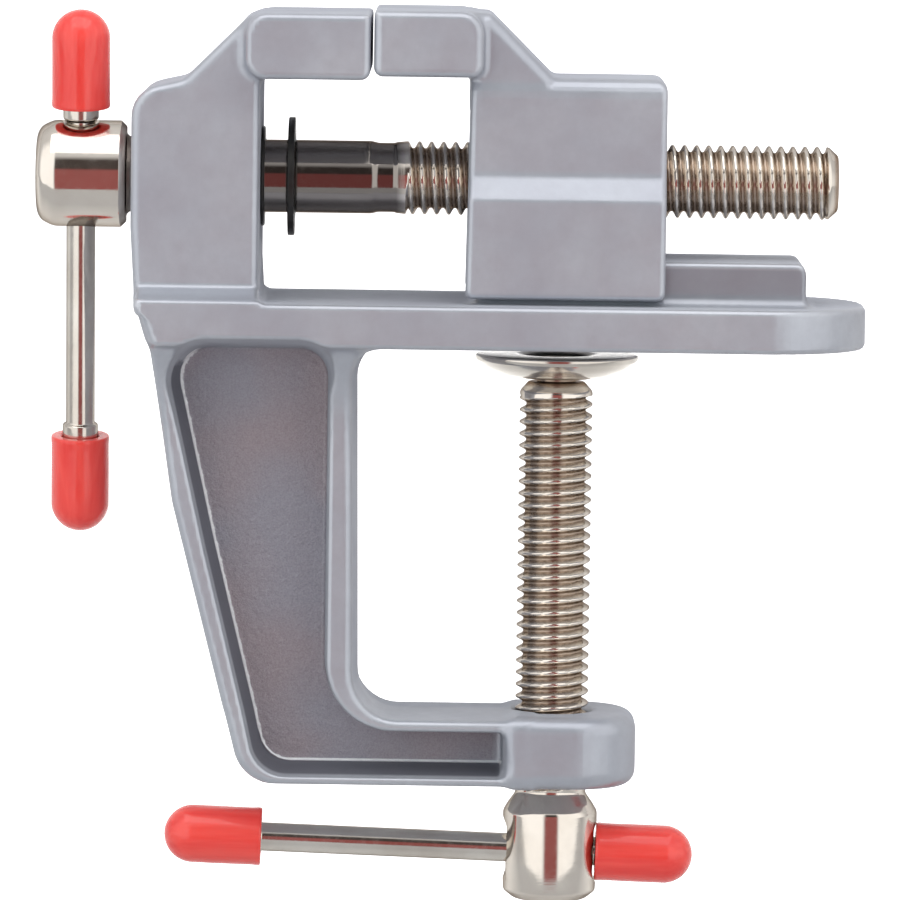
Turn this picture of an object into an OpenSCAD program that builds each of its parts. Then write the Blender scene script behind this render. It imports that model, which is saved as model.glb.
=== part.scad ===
// Small clamp-on bench vise: one grey casting that is the fixed jaw, the table plate and the
// C-shaped clamp arm, a moving jaw on a rail, and two M8 screws turned by sliding T-bars.
// Millimetres. The origin is on the plate's underside, where the clamp screw's axis meets it.
// +X runs along the jaw screw towards the moving jaw, +Y runs to the back, +Z is up.

/* [Table plate] */
// Thickness of the table plate
plate_t = 4.5; // [3.8:0.1:4.7]
// Width of the table plate, front to back
plate_w = 25.6; // [24:0.2:27]
// Reach of the plate from the clamp screw to its round end
plate_reach = 31.9; // [30:0.1:34]
// Corner radius of the plate's round end, seen from above
plate_end_r = 11; // [6:0.5:11.5]

/* [Rail] */
// Height of the rail above the plate
rail_h = 4.55; // [3.5:0.05:4.8]
// Width of the rail
rail_w = 16; // [14:0.2:16.4]
// Distance from the clamp screw to the rail's free end
rail_reach = 25.45; // [22:0.05:26]

/* [Jaws] */
// Width of both gripping bars, front to back
jaw_w = 25; // [22:0.5:26]
// Height of a gripping bar
jaw_h = 6.7; // [5:0.1:6.9]
// Gap between the jaws as stored
jaw_gap = 0.35; // [0.35:0.05:2]
// Width of the fixed jaw's upright body
upright_w = 19; // [16:0.5:20]
// Width of the moving jaw above its ledge
slider_upper_w = 17; // [15:0.5:18]
// Width of the moving jaw below its ledge
slider_lower_w = 20; // [19.4:0.2:22]
// Length of the moving jaw's body along the screw
slider_l = 20.4; // [18:0.1:20.6]

/* [Clamp arm] */
// Clear height under the plate, down to the lower arm
clamp_h = 38.3; // [36:0.1:40]
// Height of the lower arm
arm_h = 7.3; // [6:0.1:8]
// Width of the arm, front to back
arm_w = 16.8; // [15:0.2:17.2]
// Thickness of the web between the two recessed sides
web_t = 3; // [2:0.5:5]
// Radius of the round boss that the clamp screw turns in
boss_r = 8.75; // [8:0.05:9]

/* [Screws] */
// Pitch of both threads
pitch = 1.25; // [1:0.05:1.3]
// Outer diameter of both threads
thread_d = 7.6; // [7:0.1:7.8]
// Diameter of the jaw screw's plain shank
shank_d = 7.3; // [7:0.1:7.4]
// Height of the jaw screw's axis above the plate's underside
screw_z = 17; // [16:0.5:18]
// Radial clearance of a screw in its bore
screw_clear = 0.07; // [0.05:0.01:0.1]

/* [T-bars] */
// Diameter of a T-bar's rod
rod_d = 3; // [2.5:0.1:3.1]
// Length of a T-bar over its end caps
t_bar_l = 55.3; // [50:0.1:58]
// Outer diameter of an end cap
cap_d = 6.05; // [5.5:0.05:6.5]
// Length of an end cap
cap_l = 10.2; // [8:0.2:11]
// Tilt at which the lower T-bar rests in its loose hole, in degrees
lower_tilt = 1.75; // [0:0.05:1.8]
// Angle at which the upper T-bar leans to the front, with the jaw screw turned that far, in degrees
upper_lean = 8; // [0:0.5:10]

/* [Swivel pad] */
// Diameter of the swivel pad
pad_d = 17; // [14:0.5:18]
// Height of the swivel pad
pad_h = 2.5; // [2.2:0.1:3]
// Gap between the pad and the plate's underside as stored
pad_gap = 1.1; // [1.1:0.1:3]

/* [Hidden] */
$fn = 48;

casting_grey = [0.65, 0.65, 0.70];
nickel = [0.80, 0.77, 0.72];
dark_steel = [0.35, 0.34, 0.33];
black_oxide = [0.06, 0.06, 0.06];
cap_red = [0.95, 0.24, 0.22];

// fixed jaw and upright
fixed_face_x = -19.65;
throat_x = -30.95;
upright_left_x = -44.15;
fixed_bar_left_x = -32.4;
fixed_bar_z = 27.5;
bar_chamfer = 0.8;
plinth_h = 1.4;
foot_left_x = -42.6;

// clamp arm
arm_inner_x = -20.5;
arm_outer_top_x = -42.5;
arm_outer_mid = [-39.6, -16.5];
arm_outer_low = [-34.4, -37.6];
arm_top_z = -clamp_h;
arm_bottom_z = arm_top_z - arm_h;
corner_r = 4.2;
upper_corner_r = 3.5;
boss_left_x = -5;
boss_over = 0.25;
panel_rim = 3.2;
panel_top_z = -1.2;
panel_roof_z = arm_top_z - 1.8;
panel_floor_z = arm_bottom_z + 1.5;

// moving jaw
moving_face_x = fixed_face_x + jaw_gap;
moving_bar_l = 11.2;
moving_bar_z = 27.9;
slider_x = -9.5;
slider_bottom_z = plate_t + 0.4;
slider_top_z = 28;
ledge_low_z = 15.3;
ledge_high_z = 17.8;
rail_x = -8.3;
rail_clear = 0.25;

// jaw screw
jaw_head_r = 5.55;
jaw_head_x = -54.25;
jaw_head_l = 9.35;
clip_x = -27.8;
clip_t = 0.7;
clip_groove_r = 3;
clip_r = 6.15;
shank_end_x = -19.45;
thread_start_x = -16.9;
jaw_screw_end_x = 28.9;
washer_t = 0.4;
washer_r = 5.2;
thread_r = thread_d / 2;
root_r = thread_r - 0.55;

// clamp screw and its pad
pad_top_z = -pad_gap;
pad_bottom_z = pad_top_z - pad_h;
clamp_thread_top_z = pad_bottom_z - 0.35;
clamp_neck_z = -46.6;
clamp_head_z = -48.1;
clamp_head_l = 10.1;
clamp_head_r = 4.95;
stud_r = 2;
rivet_r = 2.8;

// T-bars
cross_hole_r = rod_d / 2 + 0.25;
collar_r = rod_d / 2 + 0.35;
collar_l = 1.4;
jaw_bar_x = -49.7;
jaw_bar_top = jaw_head_r + 0.05 + collar_l + cap_l;
clamp_bar_z = -53.1;
clamp_bar_right_x = 14.95;
spot_face = 4.6;
spot_face_r = 3.5;

// Points of an arc about c, from angle a0 to a1
function arc(c, r, a0, a1, steps = 8) =
    [for (i = [0:steps]) let (a = a0 + (a1 - a0) * i / steps) c + r * [cos(a), sin(a)]];

// An outline drawn in X and Z, made w wide about the middle plane
module slab(w) {
    translate([0, w / 2, 0]) rotate([90, 0, 0]) linear_extrude(w) children();
}

// An outline drawn in Y and Z, run along X
module run_x(x0, x1) {
    translate([x0, 0, 0]) rotate([90, 0, 90]) linear_extrude(x1 - x0) children();
}

// A profile drawn as [distance along the axis, radius], turned about X at height z
module turned_x(z) {
    translate([0, 0, z]) rotate([0, 90, 0]) rotate_extrude($fn = 72) {
        children();
    }
}

// ---------- frame casting ----------

module plate() {
    straight = plate_reach - plate_end_r;
    side = plate_w / 2 - plate_end_r;
    linear_extrude(plate_t) {
        translate([foot_left_x, -plate_w / 2]) square([straight - foot_left_x, plate_w]);
        translate([0, -side]) square([plate_reach, 2 * side]);
        for (s = [-1, 1]) translate([straight, s * side]) circle(plate_end_r);
    }
}

module rail() {
    top = plate_t + rail_h;
    slab(rail_w) polygon([[rail_x, plate_t - 1], [rail_reach, plate_t - 1],
        [rail_reach, top - 1.4], [rail_reach - 1.2, top], [rail_x, top]]);
}

module upright_outline() {
    polygon(concat(
        [[foot_left_x, 0], [foot_left_x - 0.9, 1.6], [foot_left_x - 1.3, 4]],
        arc([upright_left_x + 3, 23], 3, 180, 110),
        [[-38.7, 27.2], [-32.9, 33], [-31.5, fixed_bar_z + jaw_h - 0.5]],
        [[throat_x + 3, fixed_bar_z + 2]],
        arc([throat_x + 1.4, fixed_bar_z - 1.4], 1.4, 90, 180),
        arc([throat_x + 1.7, plate_t + 1.7], 1.7, 180, 270),
        [[throat_x + 1.7, 0]]));
}

module plinth() {
    w0 = upright_w / 2;
    w1 = plate_w / 2 - 0.6;
    run_x(foot_left_x - 0.8, throat_x + 0.4) polygon([[-w1, plate_t - 0.5], [w1, plate_t - 0.5],
        [w1, plate_t], [w0, plate_t + plinth_h], [-w0, plate_t + plinth_h], [-w1, plate_t]]);
}

module bar_outline(x0, x1, z0, left_cut, right_cut) {
    z1 = z0 + jaw_h;
    polygon([[x0 + left_cut, z0], [x1 - right_cut, z0], [x1, z0 + right_cut],
        [x1, z1 - 0.4], [x1 - 0.4, z1], [x0 + left_cut, z1], [x0, z1 - left_cut], [x0, z0 + left_cut]]);
}

module fixed_bar() {
    slab(jaw_w) bar_outline(fixed_bar_left_x, fixed_face_x, fixed_bar_z, 1.5, bar_chamfer);
}

function arm_left_x(z) = arm_outer_top_x + (arm_outer_mid[0] - arm_outer_top_x) * z / arm_outer_mid[1];

module arm_outline() {
    polygon(concat(
        [[arm_outer_top_x, 0.5], arm_outer_mid, arm_outer_low, [-33.1, arm_bottom_z + 4.2],
            [-32.1, arm_bottom_z + 2.3], [-30.3, arm_bottom_z + 0.6], [-27.9, arm_bottom_z],
            [boss_left_x + 1, arm_bottom_z], [boss_left_x + 1, arm_top_z]],
        arc([arm_inner_x + corner_r, arm_top_z + corner_r], corner_r, 270, 180),
        arc([arm_inner_x + upper_corner_r, -upper_corner_r], upper_corner_r, 180, 90),
        [[arm_inner_x + upper_corner_r, 0.5]]));
}

// Half widths of the arm: it flares out under the plate
module arm_section() {
    w = arm_w / 2;
    p = plate_w / 2;
    right = [[p, 0.5], [p, 0], [p - 1.6, -1.5], [w + 1.5, -4], [w + 0.6, -8], [w + 0.2, -13], [w, -20],
        [w, arm_bottom_z - 1]];
    left = [for (i = [len(right) - 1:-1:0]) [-right[i][0], right[i][1]]];
    polygon(concat(right, left));
}

module panel_outline() {
    right_x = arm_inner_x - panel_rim;
    sweep_r = corner_r + panel_rim - 0.2;
    polygon(concat(
        [[arm_left_x(panel_top_z) + panel_rim, panel_top_z],
            [arm_outer_mid[0] + panel_rim + 0.1, arm_outer_mid[1]],
            [arm_outer_low[0] + panel_rim - 0.1, arm_outer_low[1]]],
        arc([-26.9, panel_floor_z + 3], 3, 200, 270, 5),
        [[boss_left_x - 0.2, panel_floor_z], [boss_left_x - 0.2, panel_roof_z]],
        arc([right_x + sweep_r, panel_roof_z + sweep_r], sweep_r, 270, 180),
        arc([right_x - 2.4, panel_top_z - 2.4], 2.4, 0, 90, 5)));
}

module arm() {
    difference() {
        intersection() {
            slab(plate_w) arm_outline();
            run_x(-50, 10) arm_section();
        }
        for (s = [0, 1]) mirror([0, s, 0]) translate([0, web_t / 2, 0]) {
            translate([0, plate_w, 0]) rotate([90, 0, 0]) linear_extrude(plate_w) panel_outline();
        }
    }
}

module boss() {
    z0 = arm_bottom_z - boss_over;
    h = arm_top_z - z0;
    edge = 1.2;
    translate([0, 0, z0]) rotate_extrude($fn = 72) polygon([[0, 0], [boss_r - edge, 0], [boss_r, edge],
        [boss_r, h - 0.8], [boss_r - 0.8, h], [0, h]]);
    run_x(boss_left_x, 0) polygon([[-boss_r, z0 + edge], [edge - boss_r, z0], [boss_r - edge, z0],
        [boss_r, z0 + edge], [boss_r, z0 + h - 0.8], [boss_r - 0.8, z0 + h], [0.8 - boss_r, z0 + h],
        [-boss_r, z0 + h - 0.8]]);
}

module frame_casting() {
    color(casting_grey) difference() {
        union() {
            plate();
            rail();
            slab(upright_w) upright_outline();
            plinth();
            fixed_bar();
            arm();
            boss();
        }
        translate([-50, 0, screw_z]) rotate([0, 90, 0]) cylinder(r = shank_d / 2 + screw_clear, h = 25);
        translate([0, 0, arm_bottom_z - 2]) cylinder(r = thread_r + screw_clear, h = arm_h + 4);
    }
}

// ---------- moving jaw ----------

module slider_section() {
    u = slider_upper_w / 2;
    l = slider_lower_w / 2;
    slot = rail_w / 2 + rail_clear;
    slot_z = plate_t + rail_h + rail_clear;
    polygon([[slot, slider_bottom_z], [l, slider_bottom_z], [l, ledge_low_z], [u, ledge_high_z],
        [u, slider_top_z - 1.5], [u - 1.3, slider_top_z], [1.3 - u, slider_top_z],
        [-u, slider_top_z - 1.5], [-u, ledge_high_z], [-l, ledge_low_z], [-l, slider_bottom_z],
        [-slot, slider_bottom_z], [-slot, slot_z], [slot, slot_z]]);
}

module slider_side() {
    x1 = slider_x + slider_l;
    polygon([[slider_x, slider_bottom_z], [x1, slider_bottom_z], [x1, slider_top_z - 1.3],
        [x1 - 1.3, slider_top_z], [slider_x, slider_top_z]]);
}

module buttress_outline() {
    polygon([[slider_x, 20], [slider_x + 8, 20], [-0.9, slider_top_z], [-1.4, slider_top_z + 0.5],
        [-7.6, moving_bar_z + jaw_h - 0.3], [moving_face_x + 6, moving_bar_z + jaw_h - 0.3],
        [moving_face_x + 6, moving_bar_z], [slider_x, moving_bar_z]]);
}

module moving_jaw() {
    color(casting_grey) difference() {
        union() {
            intersection() {
                run_x(slider_x, slider_x + slider_l) slider_section();
                slab(slider_lower_w) slider_side();
            }
            slab(slider_upper_w) buttress_outline();
            slab(jaw_w)
                bar_outline(moving_face_x, moving_face_x + moving_bar_l, moving_bar_z, bar_chamfer, 1.5);
        }
        translate([slider_x - 5, 0, screw_z]) rotate([0, 90, 0])
            cylinder(r = thread_r + screw_clear, h = slider_l + 10);
    }
}

// ---------- screws ----------

// Ring grooves of one pitch each, from a to b along the axis
function thread_points(a, b, pull = 0.15) =
    [for (i = [0:floor((b - a) / pitch) - 1]) let (s = a + i * pitch)
        each [[s + pull, thread_r], [s + 0.5 * pitch, root_r], [s + pitch - pull, thread_r]]];

module swapped(points) {
    polygon([for (p = points) [p[1], p[0]]]);
}

module jaw_screw_profile() {
    head_end = jaw_head_x + jaw_head_l;
    r = shank_d / 2;
    swapped(concat(
        [[jaw_head_x, 0], [jaw_head_x, jaw_head_r - 1.7], [jaw_head_x + 1, jaw_head_r],
            [head_end - 0.6, jaw_head_r], [head_end, jaw_head_r - 0.6], [head_end, r],
            [clip_x - clip_t / 2 - 0.05, r], [clip_x - clip_t / 2 - 0.05, clip_groove_r],
            [clip_x + clip_t / 2 + 0.05, clip_groove_r], [clip_x + clip_t / 2 + 0.05, r],
            [shank_end_x, r], [shank_end_x + 0.4, 3.45], [thread_start_x - 0.4, 3.45]],
        thread_points(thread_start_x, jaw_screw_end_x - 0.9),
        [[jaw_screw_end_x - 0.8, thread_r - 0.1], [jaw_screw_end_x, thread_r - 0.8],
            [jaw_screw_end_x, 0]]));
}

module jaw_screw() {
    color(nickel) difference() {
        turned_x(screw_z) jaw_screw_profile();
        translate([jaw_bar_x, 0, screw_z]) rotate([upper_lean, 0, 0])
            cylinder(r = cross_hole_r, h = 20, center = true);
    }
}

module e_clip() {
    inner = clip_groove_r + 0.03;
    color(black_oxide) translate([clip_x - clip_t / 2, 0, screw_z]) rotate([0, 90, 0]) difference() {
        cylinder(r = clip_r, h = clip_t);
        translate([0, 0, -1]) cylinder(r = inner, h = 3);
        translate([0, 0, -1]) rotate([0, 0, 90]) translate([0, -inner * 0.88, 0]) cube([9, inner * 1.76, 3]);
        for (a = [28, 152])
            rotate([0, 0, a + 180]) translate([inner + 0.55, 0, -1]) cylinder(r = 1.1, h = 3);
    }
}

module thrust_washer() {
    color(black_oxide) translate([throat_x, 0, screw_z]) rotate([0, 90, 0]) difference() {
        cylinder(r = washer_r, h = washer_t);
        translate([0, 0, -1]) cylinder(r = shank_d / 2 + screw_clear, h = 3);
    }
}

module clamp_screw_profile() {
    tip = clamp_thread_top_z;
    low = clamp_head_z - clamp_head_l;
    thread = [for (p = thread_points(-tip + 0.5, -clamp_neck_z)) [-p[0], p[1]]];
    swapped(concat(
        [[pad_top_z - 0.35, 0], [pad_top_z - 0.35, rivet_r - 0.4], [pad_top_z - 0.65, rivet_r],
            [pad_top_z - 0.9, rivet_r], [pad_top_z - 0.9, stud_r], [tip, stud_r], [tip, root_r],
            [tip - 0.4, thread_r - 0.1]],
        thread,
        [[clamp_neck_z - 0.1, root_r + 0.3], [clamp_head_z, clamp_head_r - 0.45],
            [clamp_head_z - 0.3, clamp_head_r], [low + 1, clamp_head_r],
            [low, clamp_head_r - 0.9], [low, 0]]));
}

module clamp_screw() {
    color(nickel) difference() {
        rotate_extrude($fn = 72) clamp_screw_profile();
        translate([0, 0, clamp_bar_z]) rotate([0, 90 + lower_tilt, 0])
            cylinder(r = cross_hole_r, h = 20, center = true);
        for (s = [0, 180]) rotate([0, 0, s]) translate([spot_face, 0, clamp_bar_z]) rotate([0, 90, 0])
            cylinder(r = spot_face_r, h = 4);
    }
}

module swivel_pad() {
    r = pad_d / 2;
    color(nickel) rotate_extrude($fn = 72) polygon([
        [stud_r + 0.08, pad_bottom_z], [r - 4.2, pad_bottom_z], [r - 2.4, pad_bottom_z + 0.35],
        [r - 0.9, pad_bottom_z + 1.2], [r, pad_top_z - 0.6], [r, pad_top_z - 0.2], [r - 0.3, pad_top_z],
        [rivet_r + 0.25, pad_top_z], [rivet_r + 0.25, pad_top_z - 1], [stud_r + 0.08, pad_top_z - 1]]);
}

// ---------- T-bars ----------

// A T-bar lies along +Z from its lower end at 0; the collars keep it in its hole
module t_bar_rod(low_collar, high_collar) {
    end = cap_l - 2.4;
    color(nickel) {
        translate([0, 0, end]) cylinder(r = rod_d / 2, h = t_bar_l - 2 * end, $fn = 32);
        translate([0, 0, cap_l - 0.6]) cylinder(r = collar_r, h = low_collar, $fn = 32);
        translate([0, 0, t_bar_l - cap_l + 0.6 - high_collar])
            cylinder(r = collar_r, h = high_collar, $fn = 32);
    }
}

// A soft end cap with its round end at 0 and its mouth at cap_l
module t_bar_cap() {
    r = cap_d / 2;
    bore = collar_r + 0.03;
    floor_z = cap_l - 2.45;
    color(cap_red) rotate_extrude($fn = 48) polygon(concat(
        [[0, floor_z - 5.2]], [[0, 0]], arc([0, r], r, -80, 0, 8),
        [[r + 0.1, cap_l - 0.5], [r, cap_l], [bore, cap_l], [bore, cap_l - 0.65],
            [rod_d / 2 + 0.03, cap_l - 0.65], [rod_d / 2 + 0.03, floor_z], [0, floor_z]]));
}

module at_jaw_bar() {
    translate([jaw_bar_x, 0, screw_z]) rotate([upper_lean, 0, 0])
        translate([0, 0, jaw_bar_top - t_bar_l]) children();
}

module at_clamp_bar() {
    translate([0, 0, clamp_bar_z]) rotate([0, 90 + lower_tilt, 0])
        translate([0, 0, clamp_bar_right_x - t_bar_l]) children();
}

module far_end() {
    translate([0, 0, t_bar_l]) mirror([0, 0, 1]) children();
}

module jaw_t_bar() { at_jaw_bar() t_bar_rod(collar_l + 0.6, collar_l + 0.6); }
module jaw_t_bar_upper_cap() { at_jaw_bar() far_end() t_bar_cap(); }
module jaw_t_bar_lower_cap() { at_jaw_bar() t_bar_cap(); }
module clamp_t_bar() { at_clamp_bar() t_bar_rod(0.6, 0.6); }
module clamp_t_bar_left_cap() { at_clamp_bar() t_bar_cap(); }
module clamp_t_bar_right_cap() { at_clamp_bar() far_end() t_bar_cap(); }

frame_casting();
thrust_washer();
moving_jaw();
jaw_screw();
e_clip();
jaw_t_bar();
jaw_t_bar_upper_cap();
jaw_t_bar_lower_cap();
swivel_pad();
clamp_screw();
clamp_t_bar();
clamp_t_bar_left_cap();
clamp_t_bar_right_cap();
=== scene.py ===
"""Looks for the small clamp-on bench vise: castings with soft cast edges, cut threads, caps and nickel."""
import math

import bmesh
import bpy
import numpy as np
from mathutils import Matrix, Vector


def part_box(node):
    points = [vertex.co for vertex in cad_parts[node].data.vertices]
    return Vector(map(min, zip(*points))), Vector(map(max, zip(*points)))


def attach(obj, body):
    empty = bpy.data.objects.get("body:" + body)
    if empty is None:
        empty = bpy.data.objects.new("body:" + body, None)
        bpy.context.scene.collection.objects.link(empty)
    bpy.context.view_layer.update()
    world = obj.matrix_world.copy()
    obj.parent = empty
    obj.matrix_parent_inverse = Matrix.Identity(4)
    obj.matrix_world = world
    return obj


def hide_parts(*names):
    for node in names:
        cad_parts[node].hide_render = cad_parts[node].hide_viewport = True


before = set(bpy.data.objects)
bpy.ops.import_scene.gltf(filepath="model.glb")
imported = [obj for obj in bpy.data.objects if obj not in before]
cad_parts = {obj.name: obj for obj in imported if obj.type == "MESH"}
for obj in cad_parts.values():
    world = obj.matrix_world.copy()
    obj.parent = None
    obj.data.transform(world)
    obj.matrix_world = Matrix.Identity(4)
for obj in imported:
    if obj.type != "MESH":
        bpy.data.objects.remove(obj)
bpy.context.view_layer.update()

MM = 0.001
TURN = 2 * math.pi


# ---------------------------------------------------------------- sizes, in millimetres

def box_mm(node):
    """Lowest and highest corner of a CAD node, in millimetres."""
    low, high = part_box(node)
    return np.array(low) / MM, np.array(high) / MM


CAST_LOW, CAST_HIGH = box_mm("frame_casting")
SLIDER_LOW, SLIDER_HIGH = box_mm("moving_jaw")
SCREW_LOW, SCREW_HIGH = box_mm("jaw_screw")
CLAMP_LOW, CLAMP_HIGH = box_mm("clamp_screw")
PAD_LOW, PAD_HIGH = box_mm("swivel_pad")
CLIP_LOW, CLIP_HIGH = box_mm("e_clip")
WASHER_LOW, WASHER_HIGH = box_mm("thrust_washer")
UPPER_CAP_LOW, UPPER_CAP_HIGH = box_mm("jaw_t_bar_upper_cap")

PITCH = 1.25
THREAD_R = 3.8
THREAD_DEPTH = 0.70
THREAD_PLAY = 0.12
SHANK_R = 3.78
SHANK_PLAY = 0.1

# castings
PLATE_T = 4.5
PLATE_HALF = CAST_HIGH[1]
PLATE_END = CAST_HIGH[0]
PLATE_END_R = 11.0
FOOT_X = -42.6
RAIL_TOP = 9.05
RAIL_HALF = 8.0
RAIL_START = -8.3
RAIL_END = 25.45
RAIL_PLAY = 0.25
UPRIGHT_HALF = 9.5
UPRIGHT_X = CAST_LOW[0]
THROAT_X = WASHER_LOW[0]
BAR_HALF = SLIDER_HIGH[1]
BAR_H = 6.7
FIXED_BAR = (-32.4, -19.65, CAST_HIGH[2] - BAR_H)  # left end, right end and underside
MOVING_BAR = (SLIDER_LOW[0], SLIDER_LOW[0] + 11.2, SLIDER_HIGH[2] - BAR_H)
ARM_HALF = 8.4
ARM_TOP = -38.3
ARM_BOTTOM = -45.6
ARM_INNER = -20.5
WEB_HALF = 1.5
BOSS_R = 8.75
BOSS_LEFT = -5.0
SLIDER_X = -9.5
SLIDER_END = SLIDER_HIGH[0]
SLIDER_BOTTOM = SLIDER_LOW[2]
SLIDER_TOP = 28.0
SLIDER_UPPER_HALF = 8.5
SLIDER_LOWER_HALF = 10.0

# screws and T-bars
SCREW_Z = (SCREW_LOW[2] + SCREW_HIGH[2]) / 2
JAW_HEAD_R = (SCREW_HIGH[2] - SCREW_LOW[2]) / 2
JAW_SHANK_END = -19.45
JAW_THREAD_START = -16.9
GROOVE_R = 3.0
CLAMP_HEAD_R = CLAMP_HIGH[0]
RIVET_R = 2.0
ROD_R = 1.5
COLLAR_R = 1.85
CAP_R = 3.02
CAP_L = 10.2
BAR_L = 55.3
COLLAR_L = 1.4
COLLAR_GAP = 0.05
COLLAR_IN_CAP = 0.6
JAW_BAR_X = (UPPER_CAP_LOW[0] + UPPER_CAP_HIGH[0]) / 2
JAW_BAR_REACH = JAW_HEAD_R + COLLAR_GAP + COLLAR_L + CAP_L
UPPER_LEAN = math.radians(8)
CLAMP_BAR_Z = -53.1
CLAMP_BAR_RIGHT = 14.95
LOWER_TILT = math.radians(1.75)

# meshes
CASTING_GRID = 0.42
JAW_GRID = 0.36
CLIP_GRID = 0.13
SHARP_ANGLE = math.radians(38)


# ---------------------------------------------------------------- implicit surfaces

def rounded_outline(corners, steps=6):
    """A closed outline from (x, z, corner radius) points, each corner an arc."""
    points = []
    count = len(corners)
    for i, (x, z, r) in enumerate(corners):
        here = np.array([x, z], float)
        before = np.array(corners[i - 1][:2], float) - here
        after = np.array(corners[(i + 1) % count][:2], float) - here
        if r <= 0:
            points.append(here)
            continue
        u = before / np.linalg.norm(before)
        v = after / np.linalg.norm(after)
        half = math.acos(max(-1, min(1, float(u @ v)))) / 2
        reach = min(r / math.tan(half), 0.49 * np.linalg.norm(before), 0.49 * np.linalg.norm(after))
        radius = reach * math.tan(half)
        centre = here + (u + v) / np.linalg.norm(u + v) * radius / math.sin(half)
        start = here + u * reach - centre
        end = here + v * reach - centre
        a0 = math.atan2(start[1], start[0])
        sweep = math.atan2(end[1], end[0]) - a0
        sweep = (sweep + math.pi) % TURN - math.pi
        for k in range(steps + 1):
            a = a0 + sweep * k / steps
            points.append(centre + radius * np.array([math.cos(a), math.sin(a)]))
    return np.array(points)


def outline_distance(points, x, z):
    """Signed distance to a closed outline, negative inside."""
    best = np.full(np.broadcast(x, z).shape, 1e9)
    inside = np.zeros(best.shape, bool)
    for a, b in zip(points, np.roll(points, -1, axis=0)):
        ex, ez = b - a
        wx, wz = x - a[0], z - a[1]
        t = np.clip((wx * ex + wz * ez) / (ex * ex + ez * ez + 1e-12), 0, 1)
        best = np.minimum(best, (wx - ex * t) ** 2 + (wz - ez * t) ** 2)
        crosses = (a[1] <= z) != (b[1] <= z)
        left = (ex * wz - ez * wx) * (1 if ez < 0 else -1) > 0
        inside ^= crosses & left
    return np.where(inside, -1, 1) * np.sqrt(best)


def extruded(flat, across, half, edge):
    """A flat distance carried across a half width, its edges rounded."""
    a = flat + edge
    b = np.abs(across) - half + edge
    outside = np.hypot(np.maximum(a, 0), np.maximum(b, 0))
    return np.minimum(np.maximum(a, b), 0) + outside - edge


def join(a, b, blend):
    """Union of two distances, with a fillet."""
    h = np.maximum(blend - np.abs(a - b), 0) / blend
    return np.minimum(a, b) - h * h * blend / 4


def cut(a, b, blend):
    """a with b taken away, its rim rounded."""
    return -join(-a, b, blend)


def both(a, b, blend):
    """The space that a and b share, its edges rounded."""
    return -join(-a, -b, blend)


CUBE = [(i, j, k) for i in (0, 1) for j in (0, 1) for k in (0, 1)]
CUBE_EDGES = [(a, b) for a in CUBE for b in CUBE
              if sum(b) - sum(a) == 1 and all(y >= x for x, y in zip(a, b))]


def shifted(values, corner, counts):
    """The grid's values at one corner of each of its cells."""
    return values[tuple(slice(c, c + n) for c, n in zip(corner, counts))]


def surface_nets(distance, low, high, step):
    """Vertices and quads on the zero surface of distance(x, y, z), by the surface nets method.

    Each grid cell that the surface crosses gets one vertex, the mean of its edges' crossings, and each
    grid edge that crosses the surface gets a quad between its four cells.
    """
    low, high = np.array(low, float), np.array(high, float)
    axes = [np.arange(low[i] - 2 * step, high[i] + 2.5 * step, step) for i in range(3)]
    x, y, z = axes[0][:, None, None], axes[1][None, :, None], axes[2][None, None, :]
    values = distance(x, y, z).astype(np.float32)
    counts = tuple(n - 1 for n in values.shape)
    corners = {c: shifted(values, c, counts) for c in CUBE}
    below = sum((corners[c] < 0).astype(np.int8) for c in CUBE)
    active = (below > 0) & (below < 8)
    cells = np.argwhere(active)
    number = np.full(counts, -1, np.int64)
    number[active] = np.arange(len(cells))
    at = {c: corners[c][active] for c in CUBE}
    total = np.zeros((len(cells), 3))
    hits = np.zeros(len(cells))
    for a, b in CUBE_EDGES:
        crossing = (at[a] < 0) != (at[b] < 0)
        share = at[a][crossing] / (at[a][crossing] - at[b][crossing])
        total[crossing] += np.array(a) + share[:, None] * (np.array(b) - np.array(a))
        hits[crossing] += 1
    slope = np.zeros((len(cells), 3))
    for c in CUBE:
        slope += at[c][:, None] * (2 * np.array(c) - 1)
    normal = slope / np.maximum(np.linalg.norm(slope, axis=1), 1e-9)[:, None]
    origin = np.array([a[0] for a in axes])
    points = origin + step * (cells + total / hits[:, None])
    # three short moves bring each vertex closer to the true surface
    for _ in range(3):
        off = distance(points[:, 0], points[:, 1], points[:, 2])
        points -= normal * np.clip(off, -0.4 * step, 0.4 * step)[:, None]
    quads = []
    for axis in range(3):
        u, v = (axis + 1) % 3, (axis + 2) % 3
        first = [slice(1, -1)] * 3
        second = [slice(1, -1)] * 3
        first[axis] = slice(0, -1)
        second[axis] = slice(1, None)
        one, two = values[tuple(first)] < 0, values[tuple(second)] < 0
        for flip in (False, True):
            where = np.argwhere(~one & two if flip else one & ~two)
            grid = where + 1
            grid[:, axis] -= 1
            ring = []
            for du, dv in ((1, 1), (0, 1), (0, 0), (1, 0)):
                cell = grid.copy()
                cell[:, u] -= du
                cell[:, v] -= dv
                ring.append(number[tuple(cell.T)])
            ring = np.stack(ring[::-1] if flip else ring, axis=1)
            quads.append(ring)
    return points, np.concatenate(quads)


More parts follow.
